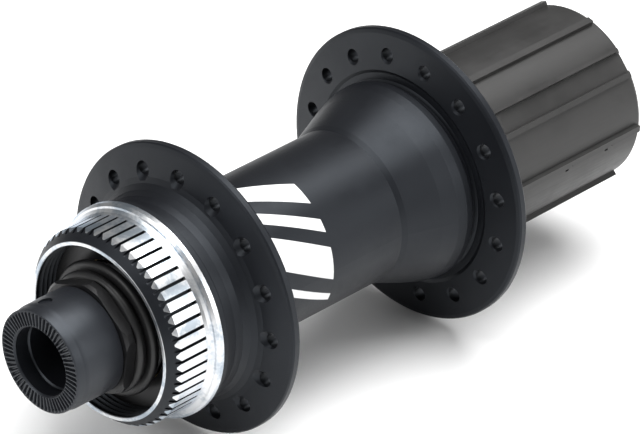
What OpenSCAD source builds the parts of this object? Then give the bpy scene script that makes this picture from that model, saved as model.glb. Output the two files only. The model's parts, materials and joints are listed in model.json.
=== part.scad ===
// Rear hub for a disc-brake bicycle: splined rotor mount, two spoke flanges,
// splined freewheel body and a hollow through-axle.
// The hub's axis lies along Y: rotor side at -Y, sprocket side at +Y, +Z up.
// Every part is drawn standing on Z with its height measured inboard from the rotor-side
// end face, and along_axle() then lays it down. Profiles are [radius, height] points.

/* [Axle] */
// Width of the hub between the frame's two faces
hub_width = 135; // [135:0.5:136]
// Radius of the hole for the through-axle
axle_bore_r = 6.1; // [6.05:0.05:6.2]
// Outer radius of the hollow axle
axle_r = 7.5; // [7.4:0.05:7.5]
// Outer radius of the end caps
cap_r = 9.6; // [9.3:0.05:9.7]
// Visible length of the rotor-side end cap
cap_len = 10.4; // [10:0.1:10.4]

/* [Flanges] */
// Number of spoke holes in one flange
spokes = 16; // [14:2:18]
// Radius of a spoke hole
spoke_hole_r = 1.3; // [1.2:0.05:1.4]
// Radius of the rotor-side circle of spoke holes
rotor_pitch_r = 22.4; // [22:0.1:23]
// Radius of the sprocket-side circle of spoke holes
drive_pitch_r = 23.1; // [22.8:0.1:23.6]
// Outer radius of the rotor-side flange
rotor_flange_r = 26.75; // [26.5:0.05:27]
// Outer radius of the sprocket-side flange
drive_flange_r = 27.65; // [27.4:0.05:28]
// Outer radius of the barrel between the flanges
barrel_r = 14.3; // [14.2:0.05:14.8]

/* [Rotor mount] */
// Number of splines on the rotor mount
rotor_splines = 52; // [48:1:54]
// Radius over the rotor splines
rotor_spline_r = 18.05; // [18:0.01:18.1]
// Radius inside the crests of the lock-ring thread
mouth_r = 15.5; // [15.4:0.05:15.6]

/* [Freewheel body] */
// Radius of the lands between the sprocket ridges
land_r = 16.6; // [16.5:0.05:16.7]
// Radius over the sprocket ridges
ridge_r = 17.5; // [17.3:0.05:17.7]
// Number of teeth in the ratchet ring
ratchet_teeth = 36; // [36:1:36]

/* [Bearings] */
// Radius of a ball in the two axle bearings
axle_ball_r = 1.984; // [1.95:0.001:1.99]
// Number of balls in each axle bearing
axle_balls = 15; // [12:1:15]
// Radius of a ball in the freewheel bearings
free_ball_r = 1.587; // [1.55:0.001:1.59]
// Number of balls in each freewheel bearing
free_balls = 24; // [20:1:24]

/* [Hidden] */

$fn = 96;
slip = 0.02;                 // radial gap between two pieces fixed to each other
cut = 0.2;                   // how far a cutting tool runs past the surface it cuts
track_gap = 0.046;           // gap between a ball and its track
axle_track_r = axle_ball_r + track_gap;
free_track_r = free_ball_r + track_gap;

cap_hole_r = axle_bore_r + 0.1;
sleeve_r = axle_r + slip;    // hole of every ring that sits on the axle tube
tube_start = 3;              // the end caps' inner stops
drive_cap_start = 129.5;
disc_groove = 6;             // how far each end cap's rubber ring is from its face
drive_groove = 4.2;
nut_len = 2.2;
spacer_end = 14.6;           // where the rotor-side cone begins

axle_ball_pitch = 10.6;
disc_ball_z = 22.5;
cup_r = 13.9;                // outside of the two bearing cups
cone_hub_r = 9;

free_ball_pitch = 12.9;
inner_row_z = 98;
outer_row_z = 113.5;
drive_ball_z = outer_row_z + 8.1;
drive_nut_start = 127.5;
// where the thread for the sprockets' lock ring begins
lock_ring_start = outer_row_z + 8.9;
core_r = 11;
core_shoulder_r = 12.3;
pawl_band_r = 12.35;
bolt_r = 9.2;
bolt_head_r = 10;
bolt_bore_r = 8.1;
head_z = 110.4;
head_end = 115;

pawl_z = 104.3;
pawl_len = 5.4;
pawl_pivot_r = 11.2;         // how far the pawls' pivots are from the hub's axis
pawl_heel_r = 0.95;
tooth_tip_r = 12.75;
tooth_root_r = 13.7;
tooth_pitch = 360 / ratchet_teeth;
tooth_phase = 113;           // turns the teeth so that a raised pawl stands in a gap
tooth_ramp = 0.96;           // share of a tooth's pitch taken by its ramp

spoke_phase = 0.7;
spline_phase = 4.1;
spline_groove_w = 0.5;
spline_groove_depth = 0.75;
freehub_end = 132.15;
freehub_start = 94.2;
ridge_start = 97.5;
ridge_stop = 131.2;

// Ridges of the freewheel body: the angle of each one's middle and its width
even_ridges = [for (i = [0:5]) [-112 - 40 * i, 1.3]];
key_ridges = [[3, 1.2], [-32.1, 1], [-48.6, 0.6], [-73.7, 1.3]];

black = [0.07, 0.07, 0.075];
dark_steel = [0.25, 0.25, 0.26];
bright = [0.82, 0.83, 0.84];

module along_axle() {
    rotate([-90, 0, 0]) translate([0, 0, -hub_width / 2]) children();
}

// A solid of revolution from a [radius, height] outline
module turned(outline) {
    rotate_extrude() polygon(outline);
}

module ring(inner, outer, from, to) {
    difference() {
        translate([0, 0, from]) cylinder(r = outer, h = to - from);
        translate([0, 0, from - cut]) cylinder(r = inner, h = to - from + 2 * cut);
    }
}

// A rubber ring of round section
module o_ring(middle_r, section_r, z) {
    translate([0, 0, z]) rotate_extrude() translate([middle_r, 0]) circle(r = section_r, $fn = 32);
}

// Groove inside an end cap for its rubber ring
module o_ring_groove(z) {
    ring(axle_r - cut, axle_r + 1, z - 0.7, z + 0.7);
}

// A ring whose outer edge is rounded over its whole thickness
module round_edged_ring(inner, outer, from, to) {
    edge = (to - from) / 2;
    rotate_extrude() intersection() {
        translate([inner, from]) square([outer - inner, to - from]);
        union() {
            translate([inner, from]) square([outer - edge - inner, to - from]);
            translate([outer - edge, from + edge]) circle(r = edge, $fn = 32);
        }
    }
}

// Grooves of a thread inside a hole, cut as rings
module thread_grooves(crest_r, depth, from, turns, pitch) {
    rotate_extrude() for (i = [0:turns - 1])
        polygon([
            [crest_r - cut, from + i * pitch],
            [crest_r, from + i * pitch],
            [crest_r + depth, from + (i + 0.45) * pitch],
            [crest_r, from + (i + 0.9) * pitch],
            [crest_r - cut, from + (i + 0.9) * pitch]
        ]);
}

// ---- Axle ----

module axle_tube() {
    color(bright) along_axle() turned([
        [axle_bore_r, tube_start + 0.5], [axle_bore_r + 0.5, tube_start],
        [axle_r, tube_start], [axle_r, hub_width - tube_start],
        [axle_bore_r + 0.5, hub_width - tube_start], [axle_bore_r, hub_width - tube_start - 0.5]
    ]);
}

module disc_end_cap() {
    face_band_r = cap_r - 0.2;
    band_end = 2;
    color(black) along_axle() difference() {
        turned([
            [cap_hole_r + 0.3, 0], [face_band_r - 0.2, 0], [face_band_r, 0.3],
            [face_band_r, band_end], [cap_r, band_end + 0.3], [cap_r, cap_len - 0.25],
            [cap_r - 0.25, cap_len], [sleeve_r, cap_len], [sleeve_r, tube_start],
            [cap_hole_r, tube_start], [cap_hole_r, 0.3]
        ]);
        o_ring_groove(disc_groove);
        // small round pocket near the face, for pulling the cap off
        translate([0, 0, 3.8]) rotate([0, 90, -104]) translate([0, 0, cap_r - 0.45]) cylinder(r = 1.25, h = 2);
    }
}

module drive_end_cap() {
    color(black) along_axle() difference() {
        turned([
            [sleeve_r, drive_cap_start], [cap_r - 0.25, drive_cap_start], [cap_r, drive_cap_start + 0.25],
            [cap_r, hub_width - 0.4], [cap_r - 0.4, hub_width], [cap_hole_r + 0.3, hub_width],
            [cap_hole_r, hub_width - 0.3], [cap_hole_r, hub_width - tube_start],
            [sleeve_r, hub_width - tube_start]
        ]);
        o_ring_groove(hub_width - drive_groove);
    }
}

module disc_cap_o_ring() {
    color(black) along_axle() o_ring(axle_r + 0.49, 0.46, disc_groove);
}

module drive_cap_o_ring() {
    color(black) along_axle() o_ring(axle_r + 0.49, 0.46, hub_width - drive_groove);
}

// A nut with wrench flats and turned corners
module lock_nut(z, len, flat_r, corner_r, turn) {
    translate([0, 0, z]) difference() {
        intersection() {
            rotate(turn) cylinder(r = flat_r / cos(30), h = len, $fn = 6);
            turned([[0, 0], [corner_r - 0.5, 0], [corner_r, 0.5], [corner_r, len - 0.5], [corner_r - 0.5, len], [0, len]]);
        }
        translate([0, 0, -cut]) cylinder(r = sleeve_r, h = len + 2 * cut);
    }
}

module disc_lock_nut() {
    color(black) along_axle() lock_nut(cap_len, nut_len, 9.8, 10.85, -21);
}

module drive_lock_nut() {
    color(dark_steel) along_axle() lock_nut(drive_nut_start, drive_cap_start - drive_nut_start, 9.8, 10.85, 0);
}

module disc_spacer() {
    color(dark_steel) along_axle() ring(sleeve_r, 9.6, cap_len + nut_len, spacer_end);
}

module disc_seal_lip() {
    color(black) along_axle() round_edged_ring(9.6 + slip, 11.1, cap_len + nut_len + 0.1, spacer_end - 0.1);
}

module disc_cone_cover() {
    color(black) along_axle() round_edged_ring(cone_hub_r + slip, 12.35, spacer_end, 16.2);
}

module drive_cone_cover() {
    color(black) along_axle() round_edged_ring(cone_hub_r + slip, 14, drive_nut_start - 1, drive_nut_start - 0.1);
}

// Bearing cone with its ball at height 0; shoulder and hub reach down the negative side
module cone(shoulder_end, hub_end) {
    shoulder_r = 11;
    rotate_extrude() difference() {
        polygon([
            [sleeve_r, -hub_end], [cone_hub_r, -hub_end], [cone_hub_r, -shoulder_end - 0.6],
            [shoulder_r, -shoulder_end], [shoulder_r, -3.2], [10.4, -2.6], [10.4, -0.3],
            [8.9, 0.7], [sleeve_r, 0.7]
        ]);
        translate([axle_ball_pitch, 0]) circle(r = axle_track_r, $fn = 64);
    }
}

module disc_cone() {
    color(dark_steel) along_axle() translate([0, 0, disc_ball_z]) cone(5.6, disc_ball_z - spacer_end);
}

module drive_cone() {
    color(dark_steel) along_axle() translate([0, 0, drive_ball_z]) mirror([0, 0, 1]) cone(4, drive_nut_start - drive_ball_z);
}

// ---- Axle bearings ----

// Bearing cup with its ball at height 0; the mouth faces the negative side
module cup() {
    mouth = 12.85;
    rotate_extrude() difference() {
        polygon([[mouth, -2.7], [cup_r, -2.7], [cup_r, 3.9], [core_r, 3.9], [core_r, 0.3], [mouth, 0.3]]);
        translate([axle_ball_pitch, 0]) circle(r = axle_track_r, $fn = 64);
    }
}

module disc_cup() {
    color(bright) along_axle() translate([0, 0, disc_ball_z]) cup();
}

module drive_cup() {
    color(bright) along_axle() translate([0, 0, drive_ball_z]) mirror([0, 0, 1]) cup();
}

module ball_row(pitch_r, ball_r, count) {
    for (i = [0:count - 1]) rotate(i * 360 / count) translate([pitch_r, 0, 0]) sphere(r = ball_r, $fn = 32);
}

// Crown cage: a ring beside the balls with a finger between each pair
module ball_cage() {
    difference() {
        union() {
            ring(axle_ball_pitch + 0.2, axle_ball_pitch + 1.3, -2.3, -1.3);
            for (i = [0:axle_balls - 1]) rotate((i + 0.5) * 360 / axle_balls)
                translate([axle_ball_pitch + 0.3, -0.45, -1.5]) cube([0.8, 0.9, 1.3]);
        }
        ball_row(axle_ball_pitch, axle_track_r, axle_balls);
    }
}

module disc_balls() {
    color(bright) along_axle() translate([0, 0, disc_ball_z]) ball_row(axle_ball_pitch, axle_ball_r, axle_balls);
}

module drive_balls() {
    color(bright) along_axle() translate([0, 0, drive_ball_z]) ball_row(axle_ball_pitch, axle_ball_r, axle_balls);
}

module disc_ball_cage() {
    color("tan") along_axle() translate([0, 0, disc_ball_z]) ball_cage();
}

module drive_ball_cage() {
    color("tan") along_axle() translate([0, 0, drive_ball_z]) mirror([0, 0, 1]) ball_cage();
}

// ---- Hub shell ----

// Outside of the shell, from the rotor mount to the sprocket-side face
shell_outside = [
    [mouth_r + 0.75, 13.46], [rotor_spline_r - 0.55, 14.9], [rotor_spline_r, 15.7],
    [rotor_spline_r, 21.5], [rotor_spline_r + 0.25, 22.05], [rotor_spline_r + 0.8, 22.4],
    [19.2, 22.5], [19.65, 22.95], [19.65, 23.85], [19.3, 24.1], [19.3, 25.2],
    [18.3, 25.4], [18.2, 26.2], [18.25, 28], [18.5, 29.4], [19.1, 30.6], [20, 31.4], [21, 31.8],
    [25.9, 33], [rotor_flange_r - 0.2, 33.2], [rotor_flange_r, 33.5], [rotor_flange_r, 34.5],
    [rotor_flange_r - 0.2, 34.8], [25.9, 35.1],
    [19, 35.3], [17.3, 35.8], [15.9, 36.9], [15, 38.4], [14.5, 40], [barrel_r, 42],
    [barrel_r, 72.3], [barrel_r + 0.5, 73.3], [17.2, 79.6], [18.2, 82.6], [18.6, 84.4], [18.65, 85.6],
    [18.3, 86.2], [17.8, 86.5], [17.8, 87], [18.4, 87.3], [19.6, 87.4], [20.2, 87.2],
    [26.8, 88.1], [drive_flange_r - 0.25, 88.3], [drive_flange_r, 88.6], [drive_flange_r, 89.6],
    [drive_flange_r - 0.25, 89.9], [26.8, 90.1], [20, 90.6], [18.2, 91], [17.5, 91.6], [17.2, 92]
];

// Inside of the shell, back from the sprocket side to the mouth
shell_inside = [
    [bolt_r + slip, 92], [bolt_r + slip, 84.6], [10.5, 83.2], [12.2, 80.5], [12.4, 78],
    [12.4, 27.6], [12.8, disc_ball_z + 3.9], [cup_r + slip, disc_ball_z + 3.9],
    [cup_r + slip, 19.5], [mouth_r, 19.5], [mouth_r, 13.46 + 0.2], [mouth_r + 0.2, 13.46]
];

// Round-bottomed teeth that lock the freewheel core to the shell
module core_splines(extra) {
    circle(r = 10.5 + extra);
    for (i = [0:7]) rotate(i * 45) translate([9, -1.2 - extra]) square([2.6 + extra, 2.4 + 2 * extra]);
}

module spoke_holes(pitch_r, z, phase) {
    for (i = [0:spokes - 1]) rotate(phase + i * 360 / spokes) translate([pitch_r, 0, z]) {
        translate([0, 0, -3]) cylinder(r = spoke_hole_r, h = 6, $fn = 32);
        // countersink on each face
        translate([0, 0, -2.1]) cylinder(r1 = spoke_hole_r + 0.9, r2 = spoke_hole_r, h = 0.9, $fn = 32);
        translate([0, 0, 1.1]) cylinder(r1 = spoke_hole_r, r2 = spoke_hole_r + 0.9, h = 0.9, $fn = 32);
    }
}

module shell() {
    color(black) along_axle() difference() {
        turned(concat(shell_outside, shell_inside));
        thread_grooves(mouth_r, 0.6, 14, 5, 1.05);
        // spline grooves round the rotor mount
        translate([0, 0, 13]) linear_extrude(8.5)
            for (i = [0:rotor_splines - 1]) rotate(spline_phase + i * 360 / rotor_splines)
                translate([rotor_spline_r - spline_groove_depth, -spline_groove_w / 2]) square([2, spline_groove_w]);
        spoke_holes(rotor_pitch_r, 33.65, spoke_phase);
        spoke_holes(drive_pitch_r, 88.95, spoke_phase + 180 / spokes);
        // socket for the freewheel core
        translate([0, 0, 89.6]) linear_extrude(3) core_splines(0.05);
    }
}

module disc_dust_cap() {
    color(black) along_axle() turned([
        [11.3, 18.2], [15.3, 17.8], [15.48, 18], [15.48, 19.4], [11.5, 19.4], [11.3, 19.2]
    ]);
}

// ---- Freewheel core, fixed to the shell ----

module fixing_bolt() {
    color(dark_steel) along_axle() difference() {
        turned([
            [bolt_bore_r, 85.2], [bolt_r - 0.3, 85.2], [bolt_r, 85.6], [bolt_r, head_z],
            [bolt_head_r, head_z], [bolt_head_r, head_end], [bolt_bore_r, head_end]
        ]);
        // hexagonal drive in the head
        translate([0, 0, head_z + 0.8]) cylinder(r = 8.2 / cos(30), h = 5, $fn = 6);
    }
}

module freehub_washer() {
    color(bright) along_axle() ring(11.8, 13.6, 92, 92.4);
}

// Places a child at one of the two pawls. The child is drawn with its pivot on +Y and its
// tip towards +X, and is mirrored because the ratchet drives the core forwards.
module at_pawl(index) {
    translate([0, 0, pawl_z]) rotate(index * 180) mirror([1, 0, 0]) children();
}

module freehub_core() {
    bore = bolt_r + slip;
    core_end = outer_row_z + 5.7;
    color(dark_steel) along_axle() difference() {
        union() {
            rotate_extrude() difference() {
                polygon([
                    [bore, 92], [11.7, 92], [11.7, 92.4], [core_shoulder_r, 92.4], [core_shoulder_r, inner_row_z - 0.7],
                    [core_r, inner_row_z - 0.7], [core_r, 103], [pawl_band_r - 0.15, 103.1], [pawl_band_r, 103.3],
                    [pawl_band_r, 110.6], [pawl_band_r - 0.15, 110.8], [core_r, 110.9], [core_r - slip, core_end],
                    [bolt_head_r + slip, core_end], [bolt_head_r + slip, head_z], [bore, head_z]
                ]);
                translate([free_ball_pitch, inner_row_z]) circle(r = free_track_r, $fn = 64);
            }
            translate([0, 0, 89.7]) linear_extrude(2.4) difference() {
                core_splines(0);
                circle(r = bore);
            }
        }
        for (i = [0, 1]) at_pawl(i) translate([0, 0, -0.2]) linear_extrude(pawl_len + 0.4) {
            translate([0, pawl_pivot_r]) circle(r = pawl_heel_r + 0.06, $fn = 48);
            polygon([[0, pawl_pivot_r], [-0.3, 13.5], [6.8, 13.5], [5.3, 9.95], [0, 9.95]]);
        }
    }
}

module freehub_cone_ring() {
    color(bright) along_axle() rotate_extrude() difference() {
        translate([core_r + slip, outer_row_z + 0.7]) square([core_shoulder_r - core_r - slip, 3.1]);
        translate([free_ball_pitch, outer_row_z]) circle(r = free_track_r, $fn = 64);
    }
}

module freehub_shims() {
    color(bright) along_axle() for (step = [3.81, 4.01]) let (z = outer_row_z + step) ring(core_r + slip, core_shoulder_r - 0.1, z, z + 0.18);
}

module pawl_springs() {
    color(bright) along_axle() for (i = [0, 1]) at_pawl(i) translate([0, 0, 1.2]) linear_extrude(3)
        polygon([[1, 9.96], [4.6, 10.02], [4.6, 10.14], [1, 10.08]]);
}

module pawl(index) {
    at_pawl(index) union() {
        translate([0, pawl_pivot_r, 0]) cylinder(r = pawl_heel_r, h = pawl_len, $fn = 48);
        linear_extrude(pawl_len)
            polygon([[-0.3, 11.98], [2.4, 11.6], [4.9, 11.5], [4.15, 10.3], [0.3, 10.4], [-0.3, 10.5]]);
    }
}

module pawl_front() {
    color(dark_steel) along_axle() pawl(0);
}

module pawl_rear() {
    color(dark_steel) along_axle() pawl(1);
}

// ---- Freewheel body ----

module freehub_inner_balls() {
    color(bright) along_axle() translate([0, 0, inner_row_z]) ball_row(free_ball_pitch, free_ball_r, free_balls);
}

module freehub_outer_balls() {
    color(bright) along_axle() translate([0, 0, outer_row_z]) ball_row(free_ball_pitch, free_ball_r, free_balls);
}

module sprocket_ridges() {
    for (ridge = concat(even_ridges, key_ridges)) rotate(ridge[0])
        translate([land_r - 1, -ridge[1] / 2]) square([ridge_r - land_r + 1, ridge[1]]);
}

// Saw-toothed hole of the ratchet
module ratchet_hole() {
    polygon([for (i = [0:ratchet_teeth - 1]) for (end = [0, 1])
        let (r = end == 0 ? tooth_tip_r : tooth_root_r, a = tooth_phase + (i + end * tooth_ramp) * tooth_pitch)
        [r * cos(a), r * sin(a)]]);
}

module freehub_body() {
    bore = 13.9;
    row_bore = 14.75;
    channel_w = 3.6;
    color(dark_steel) along_axle() difference() {
        union() {
            rotate_extrude() difference() {
                polygon([
                    [row_bore, freehub_start], [17.6, freehub_start], [18, 94.6], [18, ridge_start], [land_r, ridge_start],
                    [land_r, freehub_end - 0.5], [land_r - 0.25, freehub_end], [15.2, freehub_end], [15, freehub_end - 0.2],
                    [15, lock_ring_start], [14.4, lock_ring_start - 0.4], [14.4, outer_row_z + 3.7],
                    [row_bore, outer_row_z + 3.5], [row_bore, outer_row_z - 0.3],
                    [bore, outer_row_z - 0.3], [bore, 110.2], [tooth_tip_r - 0.1, 110.2], [tooth_tip_r - 0.1, 103.8],
                    [bore, 103.8], [bore, inner_row_z + 0.3], [row_bore, inner_row_z + 0.3]
                ]);
                for (z = [inner_row_z, outer_row_z]) translate([free_ball_pitch, z]) circle(r = free_track_r, $fn = 64);
            }
            translate([0, 0, ridge_start - 0.2]) linear_extrude(ridge_stop - ridge_start + 0.2) difference() {
                sprocket_ridges();
                circle(r = land_r - 0.3);
            }
        }
        translate([0, 0, 103.6]) linear_extrude(6.8) ratchet_hole();
        thread_grooves(15, 0.4, lock_ring_start + 0.6, 8, 1.05);
        // milled channel with a round closed end
        rotate(-40.6) translate([15.95, 0, 0]) rotate([0, 90, 0]) linear_extrude(3) {
            translate([-101.3, 0]) circle(r = channel_w / 2, $fn = 48);
            translate([-freehub_end - 1, -channel_w / 2]) square([freehub_end + 1 - 101.3, channel_w]);
        }
        // two narrow cross notches
        for (z = [112.4, 122.9]) rotate(6.8) translate([land_r - 0.3, -0.8, z]) cube([2, 1.6, 0.8]);
    }
}

module freehub_inner_seal() {
    color(black) along_axle() turned([
        [13.9, 93.4], [16.9, 92.9], [17.1, 93.1], [17.1, freehub_start], [14.7, freehub_start],
        [14.7, 95.6], [14.1, 95.6]
    ]);
}

module freehub_outer_seal() {
    color(black) along_axle() turned([
        [14.15, lock_ring_start - 4.5], [14.38, lock_ring_start - 4.5], [14.38, lock_ring_start - 0.1],
        [14.85, lock_ring_start + 0.1], [14.85, lock_ring_start + 0.35], [14.15, lock_ring_start + 0.35]
    ]);
}

axle_tube();
disc_end_cap();
drive_end_cap();
disc_cap_o_ring();
drive_cap_o_ring();
disc_lock_nut();
drive_lock_nut();
disc_spacer();
disc_seal_lip();
disc_cone_cover();
drive_cone_cover();
disc_cone();
drive_cone();
shell();
disc_dust_cap();
disc_cup();
drive_cup();
fixing_bolt();
freehub_washer();
freehub_core();
freehub_cone_ring();
freehub_shims();
pawl_springs();
disc_balls();
disc_ball_cage();
drive_balls();
drive_ball_cage();
freehub_body();
freehub_inner_seal();
freehub_outer_seal();
freehub_inner_balls();
freehub_outer_balls();
pawl_front();
pawl_rear();
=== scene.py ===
"""Rear bicycle hub: surface finishes, detailed turned pieces, studio and camera around its CAD frame."""
import json
import logging
import math
from collections.abc import Callable
from dataclasses import dataclass, field
from enum import Enum

import bmesh
import bpy
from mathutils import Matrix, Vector

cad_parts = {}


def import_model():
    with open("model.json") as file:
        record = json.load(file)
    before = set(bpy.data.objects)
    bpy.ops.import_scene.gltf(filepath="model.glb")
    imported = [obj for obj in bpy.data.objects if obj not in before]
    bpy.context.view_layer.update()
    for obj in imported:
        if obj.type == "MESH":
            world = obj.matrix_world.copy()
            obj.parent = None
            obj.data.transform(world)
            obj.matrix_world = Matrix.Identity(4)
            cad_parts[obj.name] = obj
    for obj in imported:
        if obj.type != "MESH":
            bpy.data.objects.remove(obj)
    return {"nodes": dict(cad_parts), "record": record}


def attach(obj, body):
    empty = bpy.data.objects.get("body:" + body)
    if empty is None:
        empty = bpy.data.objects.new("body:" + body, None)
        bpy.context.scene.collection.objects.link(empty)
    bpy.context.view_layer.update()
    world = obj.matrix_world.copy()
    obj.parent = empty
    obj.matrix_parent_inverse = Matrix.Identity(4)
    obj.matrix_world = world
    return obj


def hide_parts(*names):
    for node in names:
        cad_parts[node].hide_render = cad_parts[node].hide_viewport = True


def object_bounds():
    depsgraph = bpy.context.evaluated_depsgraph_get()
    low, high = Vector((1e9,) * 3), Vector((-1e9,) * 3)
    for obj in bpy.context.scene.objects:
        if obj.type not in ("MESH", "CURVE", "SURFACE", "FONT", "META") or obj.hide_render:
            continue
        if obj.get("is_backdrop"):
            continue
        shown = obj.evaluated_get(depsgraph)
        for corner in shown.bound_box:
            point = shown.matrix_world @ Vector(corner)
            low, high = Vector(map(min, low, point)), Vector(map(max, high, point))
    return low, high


MM = 0.001
HALF_WIDTH = 67.5
"""Half of the hub's width in millimetres: heights along the axle start at the rotor-side face."""

log = logging.getLogger("hub")


class Direction(Enum):
    """Which end of the axle a piece stands on."""

    ROTOR_SIDE = 1
    DRIVE_SIDE = -1


class Marks(Enum):
    """How a surface was worked."""

    TURNED = "turned"
    BRUSHED = "brushed"
    BLASTED = "blasted"


# ---- Shader node groups ----


class GroupBuilder:
    """Builds one shader node group and keeps its inner wiring short."""

    def __init__(self, name: str) -> None:
        """Starts an empty group.

        Args:
            name: The group's name.
        """
        self.tree = bpy.data.node_groups.new(name, "ShaderNodeTree")
        self.entry = self.tree.nodes.new("NodeGroupInput")
        self.exit = self.tree.nodes.new("NodeGroupOutput")

    def number_in(self, name: str, default: float) -> bpy.types.NodeSocket:
        """Adds a number input.

        Args:
            name: The input's name.
            default: The value it has unless a material sets another.

        Returns:
            The socket inside the group that carries the number.
        """
        socket = self.tree.interface.new_socket(name, in_out="INPUT", socket_type="NodeSocketFloat")
        socket.default_value = default
        return self.entry.outputs[name]

    def result(self, name: str, source: bpy.types.NodeSocket) -> None:
        """Adds a number output and joins it to its source.

        Args:
            name: The output's name.
            source: The socket inside the group that gives the number.
        """
        self.tree.interface.new_socket(name, in_out="OUTPUT", socket_type="NodeSocketFloat")
        self.tree.links.new(source, self.exit.inputs[name])

    def feed(self, socket: bpy.types.NodeSocket, value: object) -> None:
        """Sets a socket from a number, a vector or another socket.

        Args:
            socket: The input to set.
            value: What it takes.
        """
        if isinstance(value, bpy.types.NodeSocket):
            self.tree.links.new(value, socket)
        else:
            socket.default_value = value

    def math(self, operation: str, *values: object) -> bpy.types.NodeSocket:
        """Adds a maths node.

        Args:
            operation: The operation's name.
            values: One to three numbers or sockets.

        Returns:
            The node's output.
        """
        node = self.tree.nodes.new("ShaderNodeMath")
        node.operation = operation
        for slot, value in zip(node.inputs, values):
            self.feed(slot, value)
        return node.outputs[0]

    def vector(self, x: object, y: object, z: object) -> bpy.types.NodeSocket:
        """Joins three numbers into a vector.

        Args:
            x: The first number or socket.
            y: The second.
            z: The third.

        Returns:
            The vector.
        """
        node = self.tree.nodes.new("ShaderNodeCombineXYZ")
        for slot, value in zip(node.inputs, (x, y, z)):
            self.feed(slot, value)
        return node.outputs[0]

    def noise(self, place: bpy.types.NodeSocket, scale: object, detail: float) -> bpy.types.NodeSocket:
        """Adds a noise texture.

        Args:
            place: Where it is read.
            scale: How often it repeats.
            detail: How many finer layers it has.

        Returns:
            Its value.
        """
        node = self.tree.nodes.new("ShaderNodeTexNoise")
        node.inputs["Detail"].default_value = detail
        self.feed(node.inputs["Vector"], place)
        self.feed(node.inputs["Scale"], scale)
        return node.outputs["Fac"]

    def object_place(self) -> bpy.types.NodeSocket:
        """Returns the object coordinates, in metres."""
        return self.tree.nodes.new("ShaderNodeTexCoord").outputs["Object"]

    def cylinder_place(self) -> tuple:
        """Works out where a point is on the hub's own cylinder.

        Returns:
            The height from the rotor-side face and the radius, both in millimetres,
            and the angle round the axle in radians, from the top towards -X.
        """
        split = self.tree.nodes.new("ShaderNodeSeparateXYZ")
        self.tree.links.new(self.object_place(), split.inputs[0])
        x, y, z = split.outputs
        height = self.math("MULTIPLY_ADD", y, 1 / MM, HALF_WIDTH)
        square = self.math("ADD", self.math("MULTIPLY", x, x), self.math("MULTIPLY", z, z))
        radius = self.math("MULTIPLY", self.math("SQRT", square), 1 / MM)
        angle = self.math("ARCTAN2", self.math("MULTIPLY", x, -1.0), z)
        return height, radius, angle

    def band(self, value: object, low: float, high: float, soft: float) -> bpy.types.NodeSocket:
        """Masks the values between two limits.

        Args:
            value: The socket to test.
            low: The lower limit.
            high: The upper limit.
            soft: The width of each edge.

        Returns:
            A mask from 0 to 1.
        """
        edges = []
        for start, end in ((low - soft, low + soft), (high + soft, high - soft)):
            node = self.tree.nodes.new("ShaderNodeMapRange")
            self.feed(node.inputs["Value"], value)
            node.inputs["From Min"].default_value = start
            node.inputs["From Max"].default_value = end
            edges.append(node.outputs[0])
        return self.math("MULTIPLY", *edges)


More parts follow.
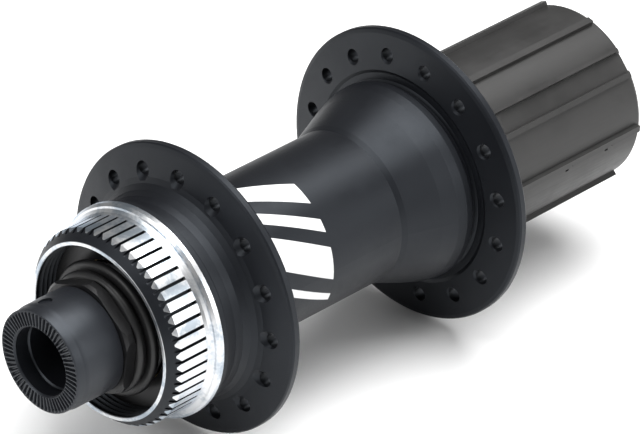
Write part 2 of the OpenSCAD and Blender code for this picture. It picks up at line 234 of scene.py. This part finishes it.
class Effects:
    """The surface effects that the finishes share, each built once. Lengths are in millimetres."""

    STROKE_STRETCH = 0.03
    """How much slower brushed strokes change along the axle than across it."""
    BROAD_SHARE = 0.75
    FINE_SHARE = 0.25
    # How much of the handling marks and painted reflection patches is broad patches and how much is fine
    # ones.
    """How much of the handling marks is broad patches and how much is fine ones."""
    FINER = 7.0
    """How many times smaller the fine patches are."""

    SPLINES = 52
    GROOVE_TURN = math.radians(94.1)
    """How far one spline groove is from the top, against the sense that angles are counted in."""
    POINT_START = 14.72
    POINT_LENGTH = 1.25
    """Where the bare metal of a spline comes to its point, and how long the point is."""
    CREST_SHARE = 0.72
    """How much of the way from a crest's middle to a groove's middle is bare."""
    MOUNT_HEIGHTS = (14.75, 23.95)
    """Where the bare rotor mount starts and ends along the axle."""
    PLAIN_START = 21.5
    """Where the splines end and the plain bare band begins."""
    MOUNT_R = 17.52
    """The mount is bare outside this radius, and black inside it."""
    LIP_HEIGHTS = (13.0, 13.56)
    LIP_RADII = (15.0, 16.3)
    """The bare ring round the mouth: its heights and its radii."""
    OPEN_END = 30.0
    """A limit that no mount surface reaches, for masks with one real edge."""
    SHARP = 0.02
    CRISP = 0.03
    """Widths of the bare zones' edges."""

    BARREL_R = 14.3
    PRINTED_BLOCKS = ((21.0, 4.6), (15.4, 2.4), (6.4, 6.2), (1.6, 1.6))
    """Where each printed block starts round the barrel, and its width."""
    PRINT_HEIGHTS = (43.2, 55.4)
    """Where the print starts and ends along the axle."""
    PRINT_SLANT = 0.55
    """How far a block turns round the barrel for each millimetre along it."""
    PRINT_DEPTH = 0.3
    """How far from the barrel's radius a surface may be and still take the print."""
    PRINT_EDGE = 0.05

    def __init__(self) -> None:
        """Builds every group."""
        self.marks = {
            Marks.TURNED: self._turned(),
            Marks.BRUSHED: self._brushed(),
            Marks.BLASTED: self._blasted(),
        }
        self.handling_and_reflection = self._build_handling_and_reflection()
        self.shell_zones = self._shell_zones()

    def _turned(self) -> bpy.types.NodeTree:
        """Rings left by a lathe tool, which change with radius and height only.

        Returns:
            The group.
        """
        group = GroupBuilder("turned_marks")
        spacing = group.number_in("Spacing mm", 0.3)
        height, radius, _ = group.cylinder_place()
        steps = group.math("DIVIDE", 1.0, spacing)
        rings = group.noise(group.vector(radius, height, 0.0), steps, 2.0)
        group.result("Height", rings)
        return group.tree

    def _brushed(self) -> bpy.types.NodeTree:
        """Fine strokes along the axle.

        Returns:
            The group.
        """
        group = GroupBuilder("brushed_marks")
        spacing = group.number_in("Spacing mm", 0.3)
        height, radius, angle = group.cylinder_place()
        steps = group.math("DIVIDE", 1.0, spacing)
        across = group.math("MULTIPLY", group.math("SINE", angle), radius)
        up = group.math("MULTIPLY", group.math("COSINE", angle), radius)
        along = group.math("MULTIPLY", height, self.STROKE_STRETCH)
        group.result("Height", group.noise(group.vector(across, along, up), steps, 2.0))
        return group.tree

    def _blasted(self) -> bpy.types.NodeTree:
        """The even fine grain of a blasted and anodised surface.

        Returns:
            The group.
        """
        group = GroupBuilder("blasted_grain")
        spacing = group.number_in("Spacing mm", 0.2)
        steps = group.math("DIVIDE", 1.0 / MM, spacing)
        group.result("Height", group.noise(group.object_place(), steps, 3.0))
        return group.tree

    def _build_handling_and_reflection(self) -> bpy.types.NodeTree:
        """Broad soft patches where hands and cloths have changed the gloss; on the bare metal the same
        patches place the painted reflection.

        Returns:
            The group.
        """
        group = GroupBuilder("handling_marks")
        size = group.number_in("Patch mm", 8.0)
        steps = group.math("DIVIDE", 1.0 / MM, size)
        broad = group.noise(group.object_place(), steps, 3.0)
        fine = group.noise(group.object_place(), group.math("MULTIPLY", steps, self.FINER), 4.0)
        weak = group.math("MULTIPLY", fine, self.FINE_SHARE)
        group.result("Patches", group.math("MULTIPLY_ADD", broad, self.BROAD_SHARE, weak))
        return group.tree

    def _shell_zones(self) -> bpy.types.NodeTree:
        """Masks of the shell: its bare metal, and the print on its barrel.

        Returns:
            The group.
        """
        group = GroupBuilder("shell_zones")
        height, radius, angle = group.cylinder_place()
        group.result("Bare", self._bare(group, height, radius, angle))
        group.result("Print", self._print(group, height, radius, angle))
        return group.tree

    def _bare(
        self,
        group: GroupBuilder,
        height: bpy.types.NodeSocket,
        radius: bpy.types.NodeSocket,
        angle: bpy.types.NodeSocket,
    ) -> bpy.types.NodeSocket:
        """Masks the rotor mount and the ring round the mouth, which are machined after anodising.

        Args:
            group: The group to work in.
            height: Height from the rotor-side face.
            radius: Distance from the axle.
            angle: Angle round the axle.

        Returns:
            The mask.
        """
        step = math.tau / self.SPLINES
        groove = group.math("DIVIDE", group.math("ADD", angle, self.GROOVE_TURN), step)
        across = group.math("FRACT", groove)
        from_crest = group.math("ABSOLUTE", group.math("MULTIPLY_ADD", across, 2.0, -1.0))
        past_point = group.math("SUBTRACT", height, group.math("MULTIPLY", from_crest, self.POINT_LENGTH))
        pointed = group.band(past_point, self.POINT_START, self.OPEN_END, self.CRISP)
        beside = group.band(from_crest, -1.0, self.CREST_SHARE, self.SHARP)
        beyond = group.band(height, self.PLAIN_START, self.MOUNT_HEIGHTS[1], self.CRISP)
        crests = group.math("MAXIMUM", group.math("MULTIPLY", pointed, beside), beyond)
        along = group.band(height, *self.MOUNT_HEIGHTS, self.CRISP)
        outside = group.band(radius, self.MOUNT_R, self.OPEN_END, self.SHARP)
        mount = group.math("MULTIPLY", crests, group.math("MULTIPLY", along, outside))
        lip_along = group.band(height, *self.LIP_HEIGHTS, self.SHARP)
        lip_across = group.band(radius, *self.LIP_RADII, self.CRISP)
        return group.math("MAXIMUM", mount, group.math("MULTIPLY", lip_along, lip_across))

    def _print(
        self,
        group: GroupBuilder,
        height: bpy.types.NodeSocket,
        radius: bpy.types.NodeSocket,
        angle: bpy.types.NodeSocket,
    ) -> bpy.types.NodeSocket:
        """Masks the slanted printed blocks on the barrel.

        Args:
            group: The group to work in.
            height: Height from the rotor-side face.
            radius: Distance from the axle.
            angle: Angle round the axle.

        Returns:
            The mask.
        """
        turn = group.math("MULTIPLY", angle, self.BARREL_R)
        slant = group.math("MULTIPLY_ADD", height, self.PRINT_SLANT, turn)
        blocks = None
        for start, width in self.PRINTED_BLOCKS:
            block = group.band(slant, start, start + width, self.PRINT_EDGE)
            blocks = block if blocks is None else group.math("MAXIMUM", blocks, block)
        inner, outer = self.BARREL_R - self.PRINT_DEPTH, self.BARREL_R + self.PRINT_DEPTH
        on_barrel = group.band(radius, inner, outer, self.PRINT_EDGE)
        along = group.band(height, *self.PRINT_HEIGHTS, self.PRINT_EDGE)
        return group.math("MULTIPLY", blocks, group.math("MULTIPLY", along, on_barrel))


# ---- Finishes ----


@dataclass(frozen=True)
class Finish:
    """A surface finish: its colour, its gloss and the marks its making left.

    Attributes:
        name: The material's name.
        color: Base colour, linear red, green and blue.
        metallic: 1 for bare metal and 0 for the rest.
        roughness: Middle roughness.
        marks: How the surface was worked.
        spacing: Distance between marks in millimetres.
        relief: Height of the marks in millimetres.
        specular: Strength of the clear reflection on surfaces that aren't bare metal.
        sheen: Tint of that reflection.
        gloss_swing: How far the marks and patches change the roughness.
        tone_swing: How far the patches change the colour.
    """

    name: str
    color: tuple
    metallic: float
    roughness: float
    marks: Marks
    spacing: float
    relief: float
    specular: float = 0.5
    gloss_swing: float = 0.1
    tone_swing: float = 0.15
    sheen: tuple = (1.0, 1.0, 1.0)

    MARK_SHARE = 0.5
    """How much the marks count beside the patches in the gloss."""
    WORN_RANGE = (0.45, 1.05)
    """The values of marks and patches together that give the least and the most roughness."""

    def build(self, effects: Effects) -> bpy.types.Material:
        """Makes the material.

        Args:
            effects: The shared node groups.

        Returns:
            The finished material.
        """
        material = bpy.data.materials.new(self.name)
        material.use_nodes = True
        nodes, links = material.node_tree.nodes, material.node_tree.links
        shader = nodes["Principled BSDF"]
        shader.inputs["Metallic"].default_value = self.metallic
        shader.inputs["Specular IOR Level"].default_value = self.specular
        shader.inputs["Specular Tint"].default_value = (*self.sheen, 1)
        marks = nodes.new("ShaderNodeGroup")
        marks.node_tree = effects.marks[self.marks]
        marks.inputs["Spacing mm"].default_value = self.spacing
        patches = nodes.new("ShaderNodeGroup")
        patches.node_tree = effects.handling_and_reflection
        tone = nodes.new("ShaderNodeMix")
        tone.data_type = "RGBA"
        tone.inputs["A"].default_value = (*[c * (1 - self.tone_swing) for c in self.color], 1)
        tone.inputs["B"].default_value = (*[min(1, c * (1 + self.tone_swing)) for c in self.color], 1)
        links.new(patches.outputs["Patches"], tone.inputs["Factor"])
        links.new(tone.outputs["Result"], shader.inputs["Base Color"])
        blend = nodes.new("ShaderNodeMath")
        blend.operation = "MULTIPLY_ADD"
        blend.inputs[1].default_value = self.MARK_SHARE
        links.new(marks.outputs["Height"], blend.inputs[0])
        links.new(patches.outputs["Patches"], blend.inputs[2])
        gloss = nodes.new("ShaderNodeMapRange")
        gloss.inputs["From Min"].default_value = self.WORN_RANGE[0]
        gloss.inputs["From Max"].default_value = self.WORN_RANGE[1]
        gloss.inputs["To Min"].default_value = self.roughness - self.gloss_swing
        gloss.inputs["To Max"].default_value = self.roughness + self.gloss_swing
        links.new(blend.outputs[0], gloss.inputs["Value"])
        links.new(gloss.outputs[0], shader.inputs["Roughness"])
        bump = nodes.new("ShaderNodeBump")
        bump.inputs["Distance"].default_value = self.relief * MM
        bump.inputs["Strength"].default_value = 1.0
        links.new(marks.outputs["Height"], bump.inputs["Height"])
        links.new(bump.outputs[0], shader.inputs["Normal"])
        return material


@dataclass(frozen=True)
class ShellFinish(Finish):
    """Black anodising with bare machined metal on the rotor mount and white print on the barrel.

    Attributes:
        bare_color: Colour of the bare metal.
        painted_reflection_color: Colour of the bare metal in its painted reflection patches: darker grey-blue
            patches that stand in for reflected surroundings.
        bare_roughness: Roughness of the bare metal.
        print_color: Colour of the printed stripes.
    """

    bare_color: tuple = (0.74, 0.75, 0.76)
    painted_reflection_color: tuple = (0.4, 0.45, 0.5)
    bare_roughness: float = 0.3
    print_color: tuple = (0.8, 0.8, 0.8)

    REFLECTION_PATCH_SIZE = 5.0
    # Size of the painted reflection patches on the bare metal, in millimetres.
    """Size of the dull patches on the bare metal, in millimetres."""
    REFLECTION_PATCH_RANGE = (0.46, 0.6)
    # The patch values at which the painted reflection starts to darken the metal and darkens it fully.
    """The patch values at which the metal starts to dull and is fully dull."""

    def build(self, effects: Effects) -> bpy.types.Material:
        """Makes the material and lays the bare and printed zones over the black.

        Args:
            effects: The shared node groups.

        Returns:
            The finished material.
        """
        material = Finish.build(self, effects)
        nodes, links = material.node_tree.nodes, material.node_tree.links
        shader = nodes["Principled BSDF"]
        zones = nodes.new("ShaderNodeGroup")
        zones.node_tree = effects.shell_zones
        # Painted reflection: darker grey-blue patches mixed into the bare metal's colour stand in for
        # reflected surroundings.
        reflection_patches = nodes.new("ShaderNodeGroup")
        reflection_patches.node_tree = effects.handling_and_reflection
        reflection_patches.inputs["Patch mm"].default_value = self.REFLECTION_PATCH_SIZE
        reflection_darkening = nodes.new("ShaderNodeMapRange")
        reflection_darkening.inputs["From Min"].default_value = self.REFLECTION_PATCH_RANGE[0]
        reflection_darkening.inputs["From Max"].default_value = self.REFLECTION_PATCH_RANGE[1]
        links.new(reflection_patches.outputs["Patches"], reflection_darkening.inputs["Value"])
        metal = self._mix(material.node_tree, reflection_darkening.outputs[0], self.bare_color, self.painted_reflection_color)
        black = shader.inputs["Base Color"].links[0].from_socket
        lower = self._mix(material.node_tree, zones.outputs["Bare"], black, metal)
        top = self._mix(material.node_tree, zones.outputs["Print"], lower, self.print_color)
        links.new(top, shader.inputs["Base Color"])
        links.new(zones.outputs["Bare"], shader.inputs["Metallic"])
        satin = shader.inputs["Roughness"].links[0].from_socket
        bright = nodes.new("ShaderNodeMix")
        bright.inputs["B"].default_value = self.bare_roughness
        links.new(satin, bright.inputs["A"])
        links.new(zones.outputs["Bare"], bright.inputs["Factor"])
        links.new(bright.outputs["Result"], shader.inputs["Roughness"])
        return material

    @staticmethod
    def _mix(
        tree: bpy.types.NodeTree, mask: bpy.types.NodeSocket, under: object, over: object
    ) -> bpy.types.NodeSocket:
        """Lays one colour over another.

        Args:
            tree: The material's nodes and links.
            mask: How much of the upper colour shows.
            under: The lower colour, as numbers or a socket.
            over: The upper colour, as numbers or a socket.

        Returns:
            The mixed colour.
        """
        node = tree.nodes.new("ShaderNodeMix")
        node.data_type = "RGBA"
        tree.links.new(mask, node.inputs["Factor"])
        for name, color in (("A", under), ("B", over)):
            if isinstance(color, bpy.types.NodeSocket):
                tree.links.new(color, node.inputs[name])
            else:
                node.inputs[name].default_value = (*color, 1)
        return node.outputs["Result"]


@dataclass
class Palette:
    """Every finish of the hub, made when it is first asked for.

    Attributes:
        effects: The shared node groups.
        made: The materials made so far, by slot.
    """

    effects: Effects
    made: dict = field(default_factory=dict)

    COOL = (0.82, 0.9, 1.0)
    """Tint of the reflection on black anodising."""

    ANODISED = ShellFinish(
        "black_anodised", (0.0052, 0.0056, 0.0072), 0.0, 0.44, Marks.BLASTED, 0.25, 0.003,
        specular=0.3, sheen=COOL,
    )
    CAP = Finish(
        "cap_black", (0.0085, 0.0092, 0.0115), 0.0, 0.42, Marks.TURNED, 0.4, 0.003, specular=0.4, sheen=COOL
    )
    ALUMINIUM = Finish("bare_aluminium", (0.82, 0.83, 0.84), 1.0, 0.28, Marks.TURNED, 0.3, 0.004)
    FREEHUB = Finish(
        "freehub_steel", (0.032, 0.0315, 0.031), 0.3, 0.44, Marks.BRUSHED, 0.35, 0.006,
        specular=0.4, gloss_swing=0.12, tone_swing=0.3,
    )
    DARK_STEEL = Finish("dark_steel", (0.016, 0.016, 0.017), 0.5, 0.36, Marks.TURNED, 0.4, 0.004)
    GROUND = Finish(
        "ground_steel", (0.62, 0.63, 0.65), 1.0, 0.16, Marks.TURNED, 0.2, 0.001,
        gloss_swing=0.05, tone_swing=0.05,
    )
    WASHER = Finish("washer_steel", (0.5, 0.5, 0.51), 1.0, 0.32, Marks.BRUSHED, 0.2, 0.003)
    RUBBER = Finish("seal_rubber", (0.008, 0.008, 0.0085), 0.0, 0.45, Marks.BLASTED, 0.4, 0.01, specular=0.4)
    BRASS = Finish("cage_brass", (0.55, 0.4, 0.18), 1.0, 0.3, Marks.BRUSHED, 0.2, 0.003)

    def of_slot(self, slot: str) -> bpy.types.Material:
        """Gives the material of one of the record's slots.

        Args:
            slot: The slot's name, which is also its finish's name.

        Returns:
            The material, built once.
        """
        if slot not in self.made:
            finish = next(f for f in vars(Palette).values() if isinstance(f, Finish) and f.name == slot)
            self.made[slot] = finish.build(self.effects)
        return self.made[slot]


# ---- Modelling ----


def deselect_all() -> None:
    """Leaves object mode with nothing selected."""
    if bpy.context.mode != "OBJECT":
        bpy.ops.object.mode_set(mode="OBJECT")
    bpy.ops.object.select_all(action="DESELECT")


@dataclass
class Lathe:
    """Turns an outline round the hub's axle.

    Attributes:
        name: The piece's name.
        outline: Pairs of radius and height in millimetres, in order round the section.
        steps: How many faces go round.
    """

    name: str
    outline: list
    steps: int

    WELD = 0.002
    """Points closer together than this many millimetres become one."""

    def cut(self) -> bpy.types.Object:
        """Extrudes a circle from point to point of the outline and closes it into a solid.

        Returns:
            The new object, at the origin.
        """
        deselect_all()
        first_r, first_h = self.outline[0]
        here = self._place(first_h)
        bpy.ops.mesh.primitive_circle_add(
            vertices=self.steps, radius=first_r * MM, location=(0, here, 0), rotation=(math.pi / 2, 0, 0)
        )
        piece = bpy.context.object
        piece.name = self.name
        piece.data.name = self.name
        bpy.ops.object.transform_apply(location=True, rotation=True, scale=True)
        bpy.ops.object.mode_set(mode="EDIT")
        bpy.ops.mesh.select_all(action="SELECT")
        radius = first_r
        for next_r, next_h in [*self.outline[1:], self.outline[0]]:
            there = self._place(next_h)
            bpy.ops.mesh.extrude_region_move(TRANSFORM_OT_translate={"value": (0, there - here, 0)})
            ratio = next_r / radius
            bpy.ops.transform.resize(value=(ratio, 1, ratio), center_override=(0, there, 0))
            here, radius = there, next_r
        bpy.ops.mesh.select_all(action="SELECT")
        bpy.ops.mesh.remove_doubles(threshold=self.WELD * MM)
        bpy.ops.mesh.normals_make_consistent(inside=False)
        bpy.ops.object.mode_set(mode="OBJECT")
        return piece

    @staticmethod
    def _place(height: float) -> float:
        """Turns a height from the rotor-side face into a place along Y, in metres."""
        return (height - HALF_WIDTH) * MM


def select_points(piece: bpy.types.Object, wanted: Callable[[Vector], bool]) -> None:
    """Enters edit mode with only the wanted vertices selected.

    Args:
        piece: The object to select on.
        wanted: A test of a vertex's place.
    """
    deselect_all()
    bpy.context.view_layer.objects.active = piece
    piece.select_set(True)
    bpy.ops.object.mode_set(mode="EDIT")
    bpy.ops.mesh.select_all(action="DESELECT")
    bpy.ops.mesh.select_mode(type="VERT")
    mesh = bmesh.from_edit_mesh(piece.data)
    for vertex in mesh.verts:
        vertex.select_set(bool(wanted(vertex.co)))
    mesh.select_flush_mode()
    bmesh.update_edit_mesh(piece.data)


@dataclass
class EndCap:
    """An end cap with radial serrations on its face. Lengths are in millimetres.

    Attributes:
        side: The end of the axle it stands on.
        length: Its length from face to skirt.
        radius: Its outer radius.
        hole_r: The radius of the hole in its face.
        sleeve_r: The inner radius of the sleeve that the axle tube sits in.
        stop: How far behind the face the tube's stop is.
        serrations: How many serrations go round the face.
        serration_depth: How deep the valleys between them are.
        rim: The width of the plain ring outside them.
        hole_ring: The width of the plain ring inside them.
        band_step: How much smaller the band behind the face is than the rest.
        hole_round: The height of the rounded edge at the hole.
        face_round: The size of the rounded edge round the face.
        shoulder: The heights where the band ends and the full radius begins.
        skirt_round: The size of the rounded edge at the skirt.
        pocket_r: The radius of the puller's pocket.
        pocket_height: How far behind the face the pocket is.
        pocket_turn: Where the pocket is, in degrees from the top.
        pocket_reach: How far outside the cap the middle of the pocket's cutter is.
        pocket_cut: The length of that cutter.
    """

    side: Direction
    length: float
    radius: float = 9.6
    hole_r: float = 6.2
    sleeve_r: float = 7.52
    stop: float = 3.0
    serrations: int = 60
    serration_depth: float = 0.42
    rim: float = 0.55
    hole_ring: float = 0.45
    band_step: float = 0.2
    hole_round: float = 0.35
    face_round: float = 0.28
    shoulder: tuple = (1.6, 2.6)
    skirt_round: float = 0.35
    pocket_r: float = 1.25
    pocket_height: float = 3.8
    pocket_turn: float = 14.0
    pocket_reach: float = 0.55
    pocket_cut: float = 2.0

    VALLEY = (0.1, 0.6)
    """The part of each serration's pitch that is pressed in."""
    TOUCH = 0.01
    """How near a vertex has to be to count as on the face."""

    def _section(self, band_r: float, teeth_in: float, teeth_out: float) -> list:
        """Draws half of the cap's section, as it is on the rotor side.

        Args:
            band_r: The radius of the band behind the face.
            teeth_in: Where the serrations start.
            teeth_out: Where they end.

        Returns:
            Pairs of radius and height.
        """
        hole = [(self.hole_r, self.hole_round), (self.hole_r + 0.2, 0.08), (self.hole_r + 0.32, 0.0)]
        teeth = [(teeth_in, 0.0), (teeth_out, 0.0)]
        face_edge = [(band_r - self.face_round, 0.0), (band_r - 0.08, 0.08), (band_r, self.face_round)]
        low, high = self.shoulder
        shoulder = [(band_r, low), (self.radius - 0.12, 1.9), (self.radius - 0.03, 2.25), (self.radius, high)]
        skirt = [
            (self.radius, self.length - self.skirt_round), (self.radius - 0.1, self.length - 0.1),
            (self.radius - self.skirt_round, self.length),
        ]
        sleeve = [(self.sleeve_r, self.length), (self.sleeve_r, self.stop), (self.hole_r, self.stop)]
        return [*hole, *teeth, *face_edge, *shoulder, *skirt, *sleeve]

    def build(self) -> bpy.types.Object:
        """Models the cap.

        Returns:
            The finished piece.
        """
        band_r = self.radius - self.band_step
        teeth_in, teeth_out = self.hole_r + self.hole_ring, band_r - self.rim
        section = self._section(band_r, teeth_in, teeth_out)
        name = "disc_end_cap_serrated" if self.side is Direction.ROTOR_SIDE else "drive_end_cap_serrated"
        if self.side is Direction.DRIVE_SIDE:
            section = [(r, 2 * HALF_WIDTH - h) for r, h in section]
        piece = Lathe(name, section, self.serrations * 4).cut()
        face = -HALF_WIDTH * self.side.value * MM
        pitch = math.tau / self.serrations

        def in_valley(place: Vector) -> bool:
            """Tells whether a vertex is pressed in between two ridges."""
            radius = math.hypot(place.x, place.z) / MM
            turn = (math.atan2(place.z, place.x) / pitch) % 1
            on_face = abs(place.y - face) < self.TOUCH * MM
            on_teeth = teeth_in - self.TOUCH < radius < teeth_out + self.TOUCH
            return on_face and on_teeth and self.VALLEY[0] < turn < self.VALLEY[1]

        select_points(piece, in_valley)
        bpy.ops.transform.translate(value=(0, self.serration_depth * self.side.value * MM, 0))
        bpy.ops.object.mode_set(mode="OBJECT")
        if self.side is Direction.ROTOR_SIDE:
            self._sink_pocket(piece)
        return piece

    def _sink_pocket(self, piece: bpy.types.Object) -> None:
        """Sinks the small round pocket that a puller holds.

        Args:
            piece: The cap.
        """
        turn = math.radians(self.pocket_turn)
        out = Vector((-math.sin(turn), 0, math.cos(turn)))
        along = Vector((0, (self.pocket_height - HALF_WIDTH) * MM, 0))
        place = out * (self.radius + self.pocket_reach) * MM + along
        deselect_all()
        bpy.ops.mesh.primitive_cylinder_add(
            vertices=48,
            radius=self.pocket_r * MM,
            depth=self.pocket_cut * MM,
            location=place,
            rotation=(0, -turn, 0),
        )
        cutter = bpy.context.object
        deselect_all()
        bpy.context.view_layer.objects.active = piece
        piece.select_set(True)
        pocket = piece.modifiers.new("pocket", "BOOLEAN")
        pocket.operation = "DIFFERENCE"
        pocket.solver = "EXACT"
        pocket.object = cutter
        bpy.ops.object.modifier_apply(modifier=pocket.name)
        bpy.data.objects.remove(cutter)


# ---- Assemblies ----


@dataclass
class Axle:
    """The still part of the hub: the tube, the caps and everything between them.

    Attributes:
        palette: The finishes.
        body: The body that the caps belong to.
        disc_cap_length: The rotor-side cap's length in millimetres.
        drive_cap_length: The sprocket-side cap's length in millimetres.
    """

    palette: Palette
    body: str = "axle"
    disc_cap_length: float = 10.4
    drive_cap_length: float = 7.0

    def build(self) -> list:
        """Models both end caps, dresses them, joins them to the axle's body and hides the CAD nodes they
        stand for.

        Returns:
            The two caps.
        """
        pieces = []
        for side, length, node in (
            (Direction.ROTOR_SIDE, self.disc_cap_length, "disc_end_cap"),
            (Direction.DRIVE_SIDE, self.drive_cap_length, "drive_end_cap"),
        ):
            cap = EndCap(side, length).build()
            finish_piece(cap, self.palette, "cap_black")
            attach(cap, self.body)
            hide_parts(node)
            pieces.append(cap)
        return pieces


def finish_piece(piece: bpy.types.Object, palette: Palette, slot: str, smooth_angle: float = 28.0) -> None:
    """Smooths a modelled piece and dresses it in the finish of its slot.

    Args:
        piece: The piece.
        palette: The finishes.
        slot: The record's slot that it takes its finish from.
        smooth_angle: Edges sharper than this many degrees stay hard.
    """
    deselect_all()
    bpy.context.view_layer.objects.active = piece
    piece.select_set(True)
    bpy.ops.object.shade_smooth_by_angle(angle=math.radians(smooth_angle))
    piece.data.materials.clear()
    piece.data.materials.append(palette.of_slot(slot))


def dress_nodes(frame: dict, palette: Palette) -> None:
    """Gives every carried-over CAD node the finish of its slot.

    Args:
        frame: The loaded frame.
        palette: The finishes.
    """
    slots = {row["node"]: row["material_slot"] for row in frame["record"]["subparts"]}
    for name, node in frame["nodes"].items():
        if not node.material_slots:
            node.data.materials.append(None)
        for slot in node.material_slots:
            slot.material = palette.of_slot(slots[name])
        log.info("dressed %s as %s", name, slots[name])


# ---- Studio ----


@dataclass(frozen=True)
class Lamp:
    """A square soft lamp that points at the hub.

    Attributes:
        name: The lamp's name.
        place: Where it hangs, in metres.
        size: The length of its side in metres.
        power: Its power in watts.
    """

    name: str
    place: tuple
    size: float
    power: float

    def hang(self) -> None:
        """Adds the lamp to the scene."""
        light = bpy.data.lights.new(self.name, "AREA")
        light.energy = self.power
        light.size = self.size
        lamp = bpy.data.objects.new(self.name, light)
        lamp.location = self.place
        lamp.rotation_euler = (-Vector(self.place)).to_track_quat("-Z", "Y").to_euler()
        bpy.context.scene.collection.objects.link(lamp)


@dataclass
class Studio:
    """A pale floor, soft lamps and the camera.

    Attributes:
        azimuth: The camera's turn round the hub, in degrees from -Y towards +X.
        elevation: Its height in degrees above level.
        distance: Its distance in metres from the point it looks at.
        lens: Its focal length in millimetres.
        aim: The point it looks at, in metres.
        floor_size: The length of the floor's side in metres.
        floor_tone: How pale the floor is.
        ambient: Strength of the even light round the scene.
        backdrop: Brightness of what the camera sees past the floor.
    """

    azimuth: float = 44.55
    elevation: float = 30.26
    distance: float = 0.8756
    lens: float = 281.25
    aim: tuple = (-0.0017, 0.0008, -0.0011)
    floor_size: float = 8
    floor_tone: float = 0.9
    ambient: float = 0.2
    backdrop: float = 1.0

    LAMPS = (
        Lamp("overhead", (0.1, 0.15, 0.8), 0.8, 13.5),
        Lamp("rotor_side", (-0.15, -0.6, 0.35), 0.35, 2.0),
        Lamp("rear", (0.75, 0.3, 0.3), 0.5, 3.0),
    )

    def build(self, floor_z: float) -> None:
        """Sets up the floor, the world, the lamps and the camera.

        Args:
            floor_z: The height of the floor.
        """
        bpy.context.scene.view_settings.view_transform = "Standard"
        self._floor(floor_z)
        self._world()
        for lamp in self.LAMPS:
            lamp.hang()
        self._camera()

    def _floor(self, height: float) -> None:
        """Lays a wide pale floor.

        Args:
            height: Where it lies, in metres.
        """
        deselect_all()
        bpy.ops.mesh.primitive_plane_add(size=self.floor_size, location=(0, 0, height))
        floor = bpy.context.object
        floor.name = "studio_floor"
        bpy.ops.object.transform_apply(location=True, rotation=True, scale=True)
        material = bpy.data.materials.new("studio_floor")
        material.use_nodes = True
        shader = material.node_tree.nodes["Principled BSDF"]
        shader.inputs["Base Color"].default_value = (*[self.floor_tone] * 3, 1)
        shader.inputs["Roughness"].default_value = 0.9
        floor.data.materials.append(material)
        floor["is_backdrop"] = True

    def _world(self) -> None:
        """Surrounds the scene with a little even light, behind a backdrop that looks white."""
        world = bpy.data.worlds.new("studio")
        world.use_nodes = True
        nodes, links = world.node_tree.nodes, world.node_tree.links
        background = nodes["Background"]
        background.inputs["Color"].default_value = (1, 1, 1, 1)
        strength = nodes.new("ShaderNodeMapRange")
        strength.inputs["To Min"].default_value = self.ambient
        strength.inputs["To Max"].default_value = self.backdrop
        links.new(nodes.new("ShaderNodeLightPath").outputs["Is Camera Ray"], strength.inputs["Value"])
        links.new(strength.outputs[0], background.inputs["Strength"])
        bpy.context.scene.world = world

    def _camera(self) -> None:
        """Puts the camera on its line of sight."""
        turn, lift = math.radians(self.azimuth), math.radians(self.elevation)
        level = math.cos(lift)
        back = Vector((math.sin(turn) * level, -math.cos(turn) * level, math.sin(lift)))
        data = bpy.data.cameras.new("camera")
        data.lens = self.lens
        data.sensor_width = 36
        data.clip_start = 0.01
        camera = bpy.data.objects.new("camera", data)
        camera.location = Vector(self.aim) + back * self.distance
        camera.rotation_euler = back.to_track_quat("Z", "Y").to_euler()
        bpy.context.scene.collection.objects.link(camera)
        bpy.context.scene.camera = camera


def main() -> None:
    """Loads the frame, builds and dresses the hub, and sets up the studio under its lowest point."""
    logging.basicConfig(level=logging.INFO, format="%(name)s: %(message)s")
    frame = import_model()
    cad_box = [list(corner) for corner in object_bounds()]
    palette = Palette(Effects())
    dress_nodes(frame, palette)
    for piece in Axle(palette).build():
        log.info("built %s", piece.name)
    Studio().build(cad_box[0][2])


if __name__ == "__main__":
    main()
